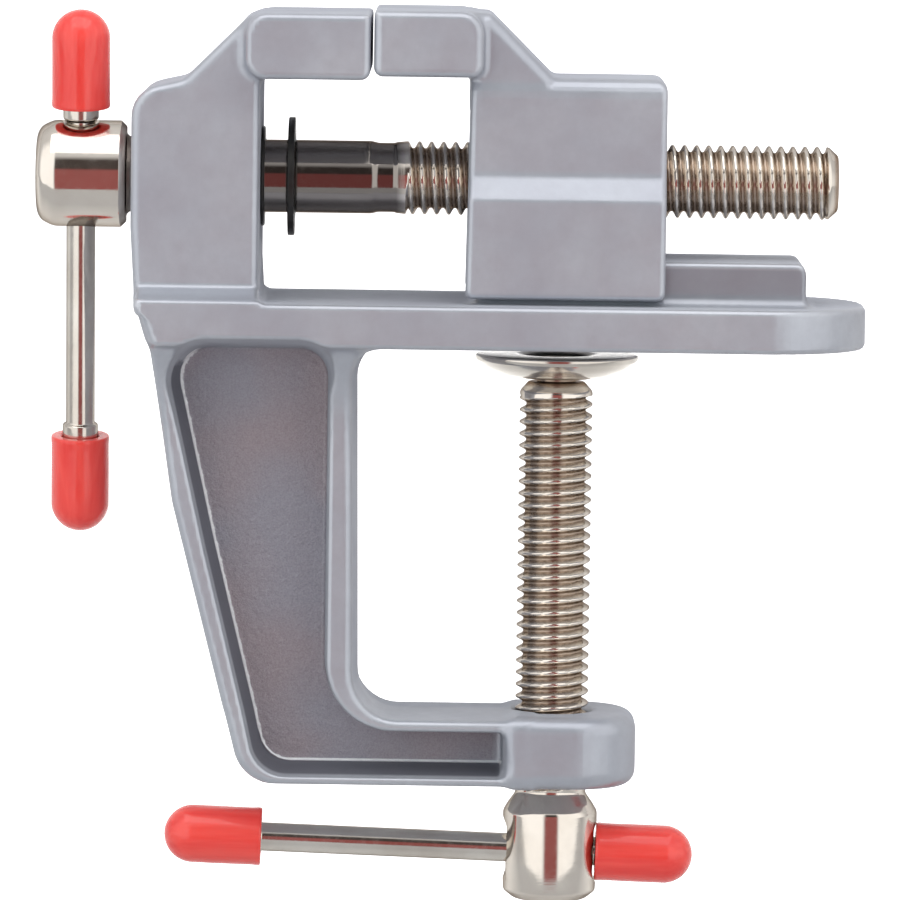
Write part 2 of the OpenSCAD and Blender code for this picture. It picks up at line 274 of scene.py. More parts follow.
def implicit_piece(name, distance, low, high, step):
    """A mesh piece from a signed distance in millimetres, with the surface's own smooth normals."""
    points, quads = surface_nets(distance, low, high, step)
    mesh = bpy.data.meshes.new(name)
    mesh.from_pydata((points * MM).tolist(), [], quads.tolist())
    mesh.validate()
    mesh.shade_smooth()
    near = 0.02
    x, y, z = points.T
    slope = np.stack([distance(x + near, y, z) - distance(x - near, y, z),
                      distance(x, y + near, z) - distance(x, y - near, z),
                      distance(x, y, z + near) - distance(x, y, z - near)], axis=1)
    slope /= np.maximum(np.linalg.norm(slope, axis=1), 1e-9)[:, None]
    mesh.normals_split_custom_set_from_vertices(slope.tolist())
    piece = bpy.data.objects.new(name, mesh)
    bpy.context.scene.collection.objects.link(piece)
    return piece


# ---------------------------------------------------------------- the two castings

def plate_distance(x, y, z):
    """The table plate: round corners on the right, and a left end that slants in towards the arm."""
    side = PLATE_HALF
    left = FOOT_X - 0.9
    plan = rounded_outline([(left, -side, 1.0), (PLATE_END, -side, PLATE_END_R),
                            (PLATE_END, side, PLATE_END_R), (left, side, 1.0)], 24)
    lean = 0.36 * (PLATE_T - z) * np.clip((-30 - x) / 6, 0, 1)
    return extruded(outline_distance(plan, x - lean, y), z - PLATE_T / 2, PLATE_T / 2, 0.6)


def rail_distance(x, y, z):
    """The low rail that the moving jaw slides on."""
    side = rounded_outline([(RAIL_START, PLATE_T - 2, 0), (RAIL_END, PLATE_T - 2, 0),
                            (RAIL_END, RAIL_TOP - 1.0, 0.9), (RAIL_END - 0.35, RAIL_TOP, 0.8),
                            (RAIL_START, RAIL_TOP, 0.5)])
    return extruded(outline_distance(side, x, z), y, RAIL_HALF, 0.5)


def upright_distance(x, y, z):
    """The fixed jaw's upright, from the plate to the gripping bar."""
    side = rounded_outline([(FOOT_X + 0.5, 0.2, 1), (UPRIGHT_X + 0.45, 4.5, 3), (UPRIGHT_X, 12, 6),
                            (UPRIGHT_X, 26.0, 3.2), (-38.9, 27.15, 2), (-32.4, 33.6, 1.2),
                            (-28, 33.6, 0), (-28, FIXED_BAR[2] + 0.4, 0), (THROAT_X, FIXED_BAR[2] + 0.4, 0),
                            (THROAT_X, 0.2, 0)])
    return extruded(outline_distance(side, x, z), y, UPRIGHT_HALF, 0.8)


def plinth_distance(x, y, z):
    """The sloping plinth on both sides of the upright's foot."""
    slope = (np.abs(y) - UPRIGHT_HALF) * 0.42 + (z - PLATE_T - 1.45) * 0.90
    ends = np.abs(x - (UPRIGHT_X + THROAT_X + 0.8) / 2) - (THROAT_X - UPRIGHT_X - 0.6) / 2
    return both(both(both(slope, ends, 0.5), np.abs(y) - PLATE_HALF + 0.3, 0.5), 3.4 - z, 0.5)


def fixed_bar_distance(x, y, z):
    """The fixed jaw's gripping bar."""
    x0, x1, z0 = FIXED_BAR
    side = rounded_outline([(x0, z0, 2.0), (x1, z0, 1.0), (x1, z0 + BAR_H, 0.35), (x0, z0 + BAR_H, 2.2)])
    return extruded(outline_distance(side, x, z), y, BAR_HALF, 0.65)


ARM_OUTLINE = rounded_outline([
    (-42.3, 2.0, 0), (-39.6, -16.5, 12), (-34.4, -37.6, 8), (-32.1, ARM_BOTTOM, 4.5),
    (BOSS_LEFT + 3, ARM_BOTTOM, 0), (BOSS_LEFT + 3, ARM_TOP, 0), (ARM_INNER + 0.25, ARM_TOP, 4.3),
    (ARM_INNER - 0.25, 0, 3.6), (-12, 0, 0), (-12, 2.0, 0)], 10)
PANEL_OUTLINE = rounded_outline([
    (-39.95, -0.75, 3.2), (-35.4, -21.0, 14), (-31.1, -38.4, 8), (-29.9, ARM_BOTTOM + 1.7, 3.0),
    (BOSS_LEFT + 0.2, ARM_BOTTOM + 1.7, 0.4), (BOSS_LEFT + 0.2, ARM_TOP - 1.8, 0.6),
    (ARM_INNER - 3.2, ARM_TOP - 1.8, 7.2), (ARM_INNER - 3.2, -0.75, 3.0)], 12)


def arm_half(z):
    """The arm's half width at a height: it flares out under the plate."""
    down = np.clip(-z / 13.0, 0, 1)
    return ARM_HALF + (PLATE_HALF - 1.3 - ARM_HALF) * (1 - down) ** 2.4


def panel_distance(x, y, z):
    """The pocket on each side of the arm's web, its outer wall, floor and roof drafted most."""
    deep = np.abs(y) - WEB_HALF
    flat = outline_distance(PANEL_OUTLINE, x, z)
    left = np.clip((-26 - x) / 3, 0, 1)
    top = np.clip((z + 5) / 4, 0, 1)
    bottom = np.clip((-40 - z) / 3, 0, 1)
    draft = 0.03 + np.maximum(np.maximum(0.10 * left, 0.11 * top), 0.10 * bottom)
    return both(flat - draft * deep, -deep, 0.5)


def arm_distance(x, y, z):
    """The C-shaped arm under the plate, drafted towards its two faces."""
    draft = 0.055 * np.clip((z + 45.5) / 7, 0, 1) * np.clip((x + 40) / 10, 0, 1)
    flat = outline_distance(ARM_OUTLINE, x, z) + draft * np.abs(y)
    return extruded(flat, y, arm_half(z), 0.8)


def boss_distance(x, y, z):
    """The boss at the arm's end, which the clamp screw goes through."""
    middle = (ARM_TOP + ARM_BOTTOM - 0.25) / 2
    half = (ARM_TOP - ARM_BOTTOM + 0.25) / 2
    plan = rounded_outline([(BOSS_LEFT, -BOSS_R, 1.2), (BOSS_R, -BOSS_R, BOSS_R - 0.01),
                            (BOSS_R, BOSS_R, BOSS_R - 0.01), (BOSS_LEFT, BOSS_R, 1.2)], 16)
    return extruded(outline_distance(plan, x, y), z - middle, half, 1.7)


def frame_distance(x, y, z):
    """The whole fixed casting, with its pockets and both screw holes."""
    body = join(plate_distance(x, y, z), rail_distance(x, y, z), 1.6)
    upright = join(upright_distance(x, y, z), plinth_distance(x, y, z), 0.4)
    upright = join(upright, fixed_bar_distance(x, y, z), 1.2)
    body = join(body, upright, 1.0)
    body = join(body, arm_distance(x, y, z), 1.1)
    body = cut(body, panel_distance(x, y, z), 0.5)
    body = join(body, boss_distance(x, y, z), 0.9)
    shank_hole = np.maximum(np.hypot(y, z - SCREW_Z) - (SHANK_R + SHANK_PLAY), x - THROAT_X - 2)
    clamp_hole = np.maximum(np.hypot(x, y) - (THREAD_R + THREAD_PLAY), z - ARM_TOP - 3)
    body = cut(body, shank_hole, 0.5)
    body = cut(body, clamp_hole, 0.8)
    body = np.maximum(np.maximum(body, np.abs(y) - PLATE_HALF), z - CAST_HIGH[2])
    return np.maximum(body, CAST_LOW[0] - x)


def slider_distance(x, y, z):
    """The moving jaw: a stepped block with a slot for the rail, a buttress and a gripping bar."""
    wide = np.abs(y)
    section = rounded_outline([
        (-1, SLIDER_BOTTOM, 0), (SLIDER_LOWER_HALF, SLIDER_BOTTOM, 0.9), (SLIDER_LOWER_HALF, 15.3, 1.2),
        (SLIDER_UPPER_HALF, 17.9, 1.6), (SLIDER_UPPER_HALF, SLIDER_TOP, 2.1), (-1, SLIDER_TOP, 0)])
    side = rounded_outline([(SLIDER_X - 0.15, SLIDER_BOTTOM, 0.7), (SLIDER_END, SLIDER_BOTTOM, 1.0),
                            (SLIDER_END, SLIDER_TOP, 1.4), (SLIDER_X + 0.2, SLIDER_TOP, 0.4)])
    block = both(outline_distance(section, wide, z), outline_distance(side, x, z), 0.7)
    neck = rounded_outline([(SLIDER_X + 0.2, 24.6, 0), (-0.7, 24.6, 0), (-0.7, 27.7, 0), (-1.45, 28.5, 1.0),
                            (-7.4, 34.4, 1.0), (-12, 34.4, 0), (-12, 29, 0), (SLIDER_X + 0.2, 29, 0)])
    buttress = extruded(outline_distance(neck, x, z), y, SLIDER_UPPER_HALF - 0.22, 1.3)
    x0, x1, z0 = MOVING_BAR
    bar_side = rounded_outline([(x0, z0, 0.9), (x1, z0, 1.2), (x1, z0 + BAR_H, 2.3),
                                (x0, z0 + BAR_H, 0.35)])
    bar = extruded(outline_distance(bar_side, x, z), y, BAR_HALF, 0.75)
    body = join(block, join(buttress, bar, 0.9), 0.45)
    slot = np.maximum(wide - RAIL_HALF - RAIL_PLAY, z - RAIL_TOP - RAIL_PLAY)
    body = cut(body, slot, 0.3)
    hole = np.hypot(y, z - SCREW_Z) - (THREAD_R + THREAD_PLAY)
    body = cut(body, hole, 0.7)
    return np.maximum(body, z - SLIDER_HIGH[2])


# ---------------------------------------------------------------- turned pieces

def smooth_profile(points):
    """Profile points (along, radius, corner size) as (along, radius) with rounded corners."""
    steps = 5
    out = []
    for i, (s, r, corner) in enumerate(points):
        here = np.array([s, r], float)
        if corner <= 0 or i in (0, len(points) - 1):
            out.append(here)
            continue
        before = np.array(points[i - 1][:2], float) - here
        after = np.array(points[i + 1][:2], float) - here
        lb, la = np.linalg.norm(before), np.linalg.norm(after)
        reach = min(corner, 0.49 * lb, 0.49 * la)
        p0, p1 = here + before / lb * reach, here + after / la * reach
        for k in range(steps + 1):
            t = k / steps
            out.append((1 - t) ** 2 * p0 + 2 * t * (1 - t) * here + t * t * p1)
    return np.array(out)


def crest(u):
    """Height of the thread over one pitch: 0 at the root, 1 on the crest."""
    rise = np.clip((0.5 - np.abs(u - 0.5) - 0.07) / 0.36, 0, 1)
    return rise - 0.05 * np.sin(TURN * rise)


def turned(name, profile, place, segments=96, thread=None, closed=False):
    """A turned piece: (along, radius) points swept about an axis.

    thread is the (start, end) of a stretch with a right-hand thread. closed joins the profile's ends in a
    loop, for a piece with a hole, and otherwise the two ends are capped.
    """
    if thread:
        start, end = thread
        keep = profile[(profile[:, 0] < start) | (profile[:, 0] > end)]
        along = np.arange(start, end, PITCH / 16)
        radii = np.interp(along, profile[:, 0], profile[:, 1])
        after = keep[:, 0] > end
        profile = np.concatenate([keep[~after], np.stack([along, radii], 1), keep[after]])
    angles = np.arange(segments) * TURN / segments
    s = np.repeat(profile[:, 0][:, None], segments, 1)
    r = np.repeat(profile[:, 1][:, None], segments, 1)
    if thread:
        u = (s / PITCH - angles[None, :] / TURN) % 1.0
        window = np.clip(np.minimum(s - start, end - s) / PITCH, 0, 1)
        r = np.minimum(r, THREAD_R - THREAD_DEPTH * (1 - crest(u)) + 3 * (1 - window))
    ring = np.stack([r * np.cos(angles), r * np.sin(angles), s], axis=2)
    count = len(profile)
    verts = ring.reshape(-1, 3)
    faces = []
    for i in range(count if closed else count - 1):
        a, b = i * segments, ((i + 1) % count) * segments
        for j in range(segments):
            k = (j + 1) % segments
            faces.append((a + j, a + k, b + k, b + j))
    if not closed:
        verts = np.concatenate([verts, [[0, 0, profile[0, 0]], [0, 0, profile[-1, 0]]]])
        low, high = count * segments, count * segments + 1
        last = (count - 1) * segments
        for j in range(segments):
            k = (j + 1) % segments
            faces.append((low, k, j))
            faces.append((high, last + j, last + k))
    mesh = bpy.data.meshes.new(name)
    mesh.from_pydata((verts * MM).tolist(), [], faces)
    mesh.transform(place)
    finish_mesh(mesh)
    piece = bpy.data.objects.new(name, mesh)
    bpy.context.scene.collection.objects.link(piece)
    return piece


def finish_mesh(mesh):
    """Cleans a mesh, turns its faces outward and keeps its hard edges hard."""
    bm = bmesh.new()
    bm.from_mesh(mesh)
    bmesh.ops.remove_doubles(bm, verts=bm.verts, dist=1e-7)
    bmesh.ops.recalc_face_normals(bm, faces=bm.faces)
    for face in bm.faces:
        face.smooth = True
    for edge in bm.edges:
        edge.smooth = len(edge.link_faces) == 2 and edge.calc_face_angle(0) < SHARP_ANGLE
    bm.to_mesh(mesh)
    bm.free()


def along_x(x, z):
    """Placement whose own axis is +X, starting at x and z millimetres."""
    spin = Matrix(((0, 0, 1, 0), (1, 0, 0, 0), (0, 1, 0, 0), (0, 0, 0, 1)))
    return Matrix.Translation(Vector((x * MM, 0, z * MM))) @ spin


def along_z(x, z, tilt=0.0, lean=0.0):
    """Placement whose own axis is +Z, turned towards +X by tilt or towards -Y by lean."""
    place = Matrix.Translation(Vector((x * MM, 0, z * MM)))
    return place @ Matrix.Rotation(tilt, 4, "Y") @ Matrix.Rotation(lean, 4, "X")


def bored(piece, cutters):
    """Cuts other pieces out of a piece and removes them."""
    for cutter in cutters:
        bore = piece.modifiers.new("bore", "BOOLEAN")
        bore.operation = "DIFFERENCE"
        bore.solver = "EXACT"
        bore.object = cutter
        bpy.context.view_layer.objects.active = piece
        bpy.ops.object.modifier_apply(modifier=bore.name)
        bpy.data.objects.remove(cutter)
    finish_mesh(piece.data)


# ---------------------------------------------------------------- pieces

def make_jaw_screw():
    """The jaw screw: a head with a cross hole, a plain shank with the clip's groove, and the thread."""
    x0 = SCREW_LOW[0]
    head = JAW_HEAD_R
    end = SCREW_HIGH[0] - x0
    neck = 9.35
    groove = CLIP_LOW[0] - 0.05 - x0
    groove_end = CLIP_HIGH[0] + 0.05 - x0
    step = JAW_SHANK_END - x0
    start = JAW_THREAD_START - x0
    profile = smooth_profile([
        (0, 0.01, 0), (0, head - 1.5, 0.5), (0.45, head - 0.65, 0.5), (1.75, head - 0.02, 0.5),
        (neck - 0.6, head, 0.15), (neck, head - 0.6, 0.2), (neck, SHANK_R + 0.4, 0.2),
        (neck + 0.5, SHANK_R, 0.3), (groove, SHANK_R, 0.1), (groove, GROOVE_R, 0),
        (groove_end, GROOVE_R, 0), (groove_end, SHANK_R, 0.1),
        (step, SHANK_R, 0.3), (step + 0.6, 3.6, 0.3), (start - 0.3, 3.6, 0.3), (start, THREAD_R - 0.1, 0.3),
        (start + 1, THREAD_R, 0.2), (end - 1.0, THREAD_R, 0.3), (end - 0.1, THREAD_R - 0.85, 0.15),
        (end, THREAD_R - 1.0, 0.1), (end, 0.01, 0)])
    piece = turned("jaw_screw_turned", profile, along_x(x0, SCREW_Z), thread=(start, end - 0.1))
    bored(piece, [cross_bore(along_z(JAW_BAR_X, SCREW_Z, lean=UPPER_LEAN), head, 0)])
    return piece


def make_clamp_screw():
    """The clamp screw: a head with a spot-faced cross hole, the thread, and the rivet for the pad."""
    low = CLAMP_LOW[2]
    tip = PAD_LOW[2] - 0.35 - low
    top = CLAMP_HIGH[2] - low
    head = CLAMP_HEAD_R
    shoulder = 10.05
    start = shoulder + 0.35
    profile = smooth_profile([
        (0, 0.01, 0), (0, head - 1.2, 0.5), (0.9, head - 0.12, 0.25), (3.5, head, 0.6),
        (shoulder - 0.8, head - 0.03, 0.3), (shoulder, head - 0.5, 0.1), (shoulder + 1.2, 3.6, 0.4),
        (shoulder + 2.2, THREAD_R, 0.3), (tip - 1.0, THREAD_R, 0.3), (tip, THREAD_R - 0.9, 0.2),
        (tip, RIVET_R, 0.1), (top - 0.55, RIVET_R, 0.1), (top - 0.55, RIVET_R + 0.75, 0.15),
        (top - 0.3, RIVET_R + 0.8, 0.2), (top, RIVET_R + 0.1, 0.4), (top, 0.01, 0)])
    piece = turned("clamp_screw_turned", profile, along_z(0, low), thread=(start, tip - 0.3))
    bored(piece, [cross_bore(along_z(0, CLAMP_BAR_Z, math.pi / 2 + LOWER_TILT), head, 0.42)])
    return piece


def cross_bore(place, head, spot):
    """Cutter for a head's loose cross hole: flared mouths and, with spot, flat seats that deep."""
    bore = ROD_R + 0.25
    flat = head - spot
    rim = [(flat - 0.5, bore, 0.3), (flat, bore + 0.3, 0.1), (head + 1, bore + 0.4, 0)]
    if spot:
        rim = [(flat - 0.4, bore, 0.3), (flat, bore + 0.3, 0.1), (flat, 3.1, 0.2), (head + 1, 3.9, 0)]
    profile = [(-s, r, c) for s, r, c in reversed(rim)] + rim
    ends = [(-head - 1, 0.01, 0)] + profile + [(head + 1, 0.01, 0)]
    return turned("cross_bore", smooth_profile(ends), place, 48)


def make_pad():
    """The swivel pad: a dish with a flat rim on top and a recess and hole for the screw's rivet."""
    low = PAD_LOW[2]
    height = PAD_HIGH[2] - low
    r = PAD_HIGH[0]
    hole = RIVET_R + 0.1
    profile = smooth_profile([
        (0, hole, 0), (0, 3.6, 0.3), (0.08, 4.6, 0.6), (0.35, 6.1, 0.8), (1.1, 7.6, 0.9),
        (height - 0.7, r - 0.12, 0.4), (height - 0.45, r, 0.15), (height - 0.12, r, 0.15),
        (height, r - 0.25, 0.15), (height, 4.1, 0.4), (height - 0.25, 3.2, 0.3),
        (height - 1.0, 3.05, 0.1), (height - 1.0, hole, 0)])
    return turned("swivel_pad_pressed", profile, along_z(0, low), closed=True)


def make_washer():
    """The thrust washer round the jaw screw, on the upright's face."""
    thick = WASHER_HIGH[0] - WASHER_LOW[0]
    r = WASHER_HIGH[2] - SCREW_Z
    bore = SHANK_R + 0.06
    profile = smooth_profile([(0, bore, 0), (0, r - 0.1, 0.08), (0.12, r, 0.05), (thick - 0.12, r, 0.05),
                              (thick, r - 0.1, 0.08), (thick, bore, 0)])
    return turned("thrust_washer_pressed", profile, along_x(WASHER_LOW[0], SCREW_Z), 64, closed=True)


def clip_distance(x, y, z):
    """A stamped E-clip: a ring open at the back, with three prongs that reach into the groove."""
    across, up = y, z - SCREW_Z
    radius = np.hypot(across, up)
    inner = 4.35
    tip = GROOVE_R + 0.05
    ring = both(radius - CLIP_HIGH[2] + SCREW_Z, inner - radius, 0.3)
    prongs = np.full(np.broadcast(across, up).shape, 1e9)
    for angle in (180, 66, -66):
        a = math.radians(angle)
        run = across * math.cos(a) + up * math.sin(a)
        side = -across * math.sin(a) + up * math.cos(a)
        prong = np.maximum(np.maximum(tip - run, run - inner - 0.65), np.abs(side) - 1.25)
        prongs = join(prongs, prong, 0.3)
    outline = join(ring, prongs, 0.7)
    mouth = np.maximum(np.abs(up) - 2.75, 1.0 - across)
    outline = cut(outline, mouth, 0.5)
    outline = np.maximum(outline, tip - radius)
    middle = (CLIP_LOW[0] + CLIP_HIGH[0]) / 2
    half = (CLIP_HIGH[0] - CLIP_LOW[0]) / 2
    return extruded(outline, x - middle, half, 0.1)


def make_rod(name, place, collar):
    """A T-bar rod with an upset collar at each cap; its own 0 is the lower end of the bar over the caps."""
    start = CAP_L - 2.4
    a0 = CAP_L - COLLAR_IN_CAP
    a1 = a0 + collar
    b1 = BAR_L - CAP_L + COLLAR_IN_CAP
    b0 = b1 - collar
    profile = smooth_profile([
        (start, 0.01, 0), (start, ROD_R - 0.2, 0.1), (start + 0.2, ROD_R, 0.1), (a0, ROD_R, 0.05),
        (a0 + 0.1, COLLAR_R, 0.1), (a1 - 0.2, COLLAR_R, 0.15), (a1, ROD_R, 0.1),
        (b0, ROD_R, 0.1), (b0 + 0.2, COLLAR_R, 0.15), (b1 - 0.1, COLLAR_R, 0.1), (b1, ROD_R, 0.05),
        (BAR_L - start - 0.2, ROD_R, 0.1), (BAR_L - start, ROD_R - 0.2, 0.1), (BAR_L - start, 0.01, 0)])
    return turned(name, profile, place, 48)


def make_cap(name, place):
    """A dipped vinyl end cap: round end at 0, a soft rolled lip at its mouth, hollow round the rod."""
    dome = [(CAP_R * (1 - math.cos(a)), CAP_R * math.sin(a), 0)
            for a in (math.radians(d) for d in range(3, 90, 6))]
    mouth = COLLAR_R + 0.03
    bore = ROD_R + 0.03
    profile = smooth_profile(
        [(0.0, 0.01, 0)] + dome + [
            (CAP_L * 0.55, CAP_R, 1.5), (CAP_L - 0.9, CAP_R, 0.6), (CAP_L - 0.3, CAP_R + 0.05, 0.2),
            (CAP_L, CAP_R - 0.02, 0.12), (CAP_L, COLLAR_R + 0.18, 0.2), (CAP_L - 0.35, mouth, 0.15),
            (CAP_L - 0.65, mouth, 0.05), (CAP_L - 0.65, bore, 0), (CAP_L - 2.45, bore, 0),
            (CAP_L - 2.45, 0.01, 0)])
    piece = turned(name, profile, Matrix.Identity(4), 56)
    mesh = piece.data
    # dipping leaves the outside about a hundredth of a millimetre wavy
    for v in mesh.vertices:
        p = v.co / MM
        angle = math.atan2(p.y, p.x)
        soft = 0.010 * math.sin(2 * angle + 0.4 * p.z) + 0.006 * math.sin(3 * angle - 0.7 * p.z)
        away = Vector((p.x, p.y, 0))
        if away.length > CAP_R * 0.7:
            v.co += away.normalized() * (soft * MM)
    mesh.transform(place)
    return piece


# ---------------------------------------------------------------- materials

# colours, as linear red, green, blue and alpha
WHITE = (1, 1, 1, 1)
BLACK = (0, 0, 0, 1)
EDGE_TINT = (0.28, 0.25, 0.23, 1)
PAINT_DEEP = (0.43, 0.445, 0.50, 1)
PAINT_PALE = (0.485, 0.505, 0.555, 1)
PAINT_SPECK = (0.38, 0.38, 0.43, 1)
PAINT_WORN = (0.70, 0.70, 0.74, 1)
BROWN_DEEP = (0.34, 0.285, 0.31, 1)
BROWN_PALE = (0.45, 0.39, 0.42, 1)
BLUE_DEEP = (0.315, 0.30, 0.345, 1)
BLUE_PALE = (0.41, 0.395, 0.445, 1)
RAIL_SHADE = (0.20, 0.20, 0.23, 1)
WALL_SHADE = (0.13, 0.13, 0.16, 1)
PAINTED_FILLET_HIGHLIGHT = (0.97, 0.96, 0.98, 1)
NICKEL_WARM = (0.76, 0.70, 0.63, 1)
NICKEL_PALE = (0.84, 0.785, 0.72, 1)
ROOT_DIRT_AND_SHADE = (0.44, 0.35, 0.28, 1)
SHANK_PAINTED_SHADE = (0.20, 0.18, 0.17, 1)
STEEL_WARM = (0.66, 0.61, 0.55, 1)
STEEL_PALE = (0.80, 0.765, 0.71, 1)
OXIDE_DEEP = (0.012, 0.012, 0.013, 1)
OXIDE_WORN = (0.05, 0.047, 0.045, 1)
VINYL_DEEP = (0.80, 0.050, 0.042, 1)
VINYL_PALE = (0.88, 0.085, 0.070, 1)

# where a pocket's look fades in below the plate's underside, in millimetres
UNDER_PLATE = (-0.2, -1.0)


class Nodes:
    """Short calls for building the nodes of a material or of the world."""

    def __init__(self, owner, coordinates="Object"):
        self.owner = owner
        owner.use_nodes = True
        self.tree = owner.node_tree
        self.place = self.add("ShaderNodeTexCoord").outputs[coordinates]

    def add(self, kind, **settings):
        """A new node of a kind, with its settings."""
        node = self.tree.nodes.new(kind)
        for key, value in settings.items():
            setattr(node, key, value)
        return node

    def put(self, target, value):
        """Links a socket to an input, or sets the input to a plain value."""
        if isinstance(value, bpy.types.NodeSocket):
            self.tree.links.new(value, target)
        else:
            target.default_value = value

    def noise(self, scale, detail=3.0, rough=0.5, stretch=None):
        """Noise with about scale waves in a metre, times stretch along each axis."""
        place = self.place
        if stretch:
            mapping = self.add("ShaderNodeMapping")
            self.put(mapping.inputs["Scale"], stretch)
            self.put(mapping.inputs["Vector"], place)
            place = mapping.outputs["Vector"]
        node = self.add("ShaderNodeTexNoise")
        self.put(node.inputs["Scale"], scale)
        self.put(node.inputs["Detail"], detail)
        self.put(node.inputs["Roughness"], rough)
        self.put(node.inputs["Vector"], place)
        return node.outputs["Fac"]

    def math(self, operation, a, b=0.0):
        """One step of arithmetic on a, or on a and b."""
        node = self.add("ShaderNodeMath", operation=operation)
        self.put(node.inputs[0], a)
        self.put(node.inputs[1], b)
        return node.outputs[0]

    def product(self, first, *others):
        """All the given values multiplied together."""
        for other in others:
            first = self.math("MULTIPLY", first, other)
        return first

    def span(self, value, low, high, to_low=0.0, to_high=1.0):
        """Maps low..high to to_low..to_high, held at both ends."""
        node = self.add("ShaderNodeMapRange")
        self.put(node.inputs["Value"], value)
        self.put(node.inputs["From Min"], low)
        self.put(node.inputs["From Max"], high)
        self.put(node.inputs["To Min"], to_low)
        self.put(node.inputs["To Max"], to_high)
        return node.outputs["Result"]

    def rise(self, length, start, end):
        """0 where a length in metres is start millimetres, rising to 1 at end millimetres."""
        return self.span(length, start * MM, end * MM)

    def fall(self, length, start, end):
        """1 where a length in metres is start millimetres, falling to 0 at end millimetres."""
        return self.span(length, start * MM, end * MM, 1.0, 0.0)

    def mix(self, share, a, b):
        """a where share is 0, b where it is 1."""
        node = self.add("ShaderNodeMix", data_type="RGBA")
        self.put(node.inputs["Factor"], share)
        self.put(node.inputs["A"], a)
        self.put(node.inputs["B"], b)
        return node.outputs["Result"]

    def bump(self, height, distance, strength, under=None):
        """A bumped normal; distance is in metres, and under is a bump that lies beneath."""
        node = self.add("ShaderNodeBump")
        self.put(node.inputs["Distance"], distance)
        self.put(node.inputs["Strength"], strength)
        self.put(node.inputs["Height"], height)
        if under:
            self.put(node.inputs["Normal"], under)
        return node.outputs["Normal"]

    def axes(self, vector=None):
        """The X, Y and Z of a vector, by name; without one, of the place on the object."""
        node = self.add("ShaderNodeSeparateXYZ")
        self.put(node.inputs[0], vector or self.place)
        return node.outputs

    def geometry(self, output):
        """One of the surface's own values, such as Normal or Pointiness."""
        return self.add("ShaderNodeNewGeometry").outputs[output]

    def set(self, **values):
        """Fills the shader's own inputs and returns the material."""
        names = {"color": "Base Color", "rough": "Roughness", "metal": "Metallic", "normal": "Normal",
                 "coat": "Coat Weight", "coat_rough": "Coat Roughness",
                 "subsurface": "Subsurface Weight", "radius": "Subsurface Radius",
                 "scale": "Subsurface Scale", "specular": "Specular IOR Level", "tint": "Specular Tint",
                 "glow_color": "Emission Color", "glow": "Emission Strength"}
        shader = self.tree.nodes["Principled BSDF"]
        for key, value in values.items():
            self.put(shader.inputs[names[key]], value)
        return self.owner


def facing(n, low, high):
    """1 where a surface is seen square on, falling to 0 as it turns edge on."""
    weight = n.add("ShaderNodeLayerWeight")
    n.put(weight.inputs["Blend"], 0.5)
    return n.span(weight.outputs["Facing"], low, high, 1.0, 0.0)


def pocket_web(n, axes):
    """Mask for the web at the bottom of the arm's pockets, up to the boss."""
    normal = n.axes(n.geometry("Normal"))
    return n.product(
        n.fall(n.math("ABSOLUTE", axes["Y"]), WEB_HALF + 1.5, WEB_HALF + 2.7),
        n.rise(axes["Z"], *UNDER_PLATE),
        n.rise(axes["X"], BOSS_LEFT - 0.2, BOSS_LEFT - 1.2),
        n.span(n.math("ABSOLUTE", normal["Y"]), 0.35, 0.6))


def pocket_edges(n, axes):
    """Masks for painted shade on the pockets' outer walls and for painted highlights on the fillets between
    those walls and the web.
    """
    normal = n.axes(n.geometry("Normal"))
    left = n.product(normal["X"], n.rise(axes["X"], ARM_INNER - 4.0, ARM_INNER - 5.0))
    low = n.product(normal["Z"], n.rise(axes["Z"], ARM_BOTTOM + 5.1, ARM_BOTTOM + 4.4))
    turned_in = n.product(n.math("ADD", left, low), n.rise(axes["Z"], *UNDER_PLATE))
    across = n.math("ABSOLUTE", axes["Y"])
    wall = n.product(n.span(turned_in, 0.78, 0.92), n.fall(across, ARM_HALF - 1.8, ARM_HALF - 1.0))
    fillet = n.product(n.span(turned_in, 0.25, 0.45), n.span(turned_in, 0.75, 0.9, 1.0, 0.0),
                       n.fall(across, WEB_HALF + 0.9, WEB_HALF + 1.5))
    return wall, fillet


def rail_painted_shade(n, axes):
    """Mask for painted shade on the rail's two sides, between the plate and the rail's top edge."""
    return n.product(
        n.rise(axes["Z"], PLATE_T + 0.1, PLATE_T + 0.9),
        n.fall(axes["Z"], RAIL_TOP - 0.75, RAIL_TOP - 0.35),
        n.fall(n.math("ABSOLUTE", axes["Y"]), RAIL_HALF + 0.5, RAIL_HALF + 1.2),
        n.rise(axes["X"], RAIL_START + 0.5, RAIL_START + 1.3))


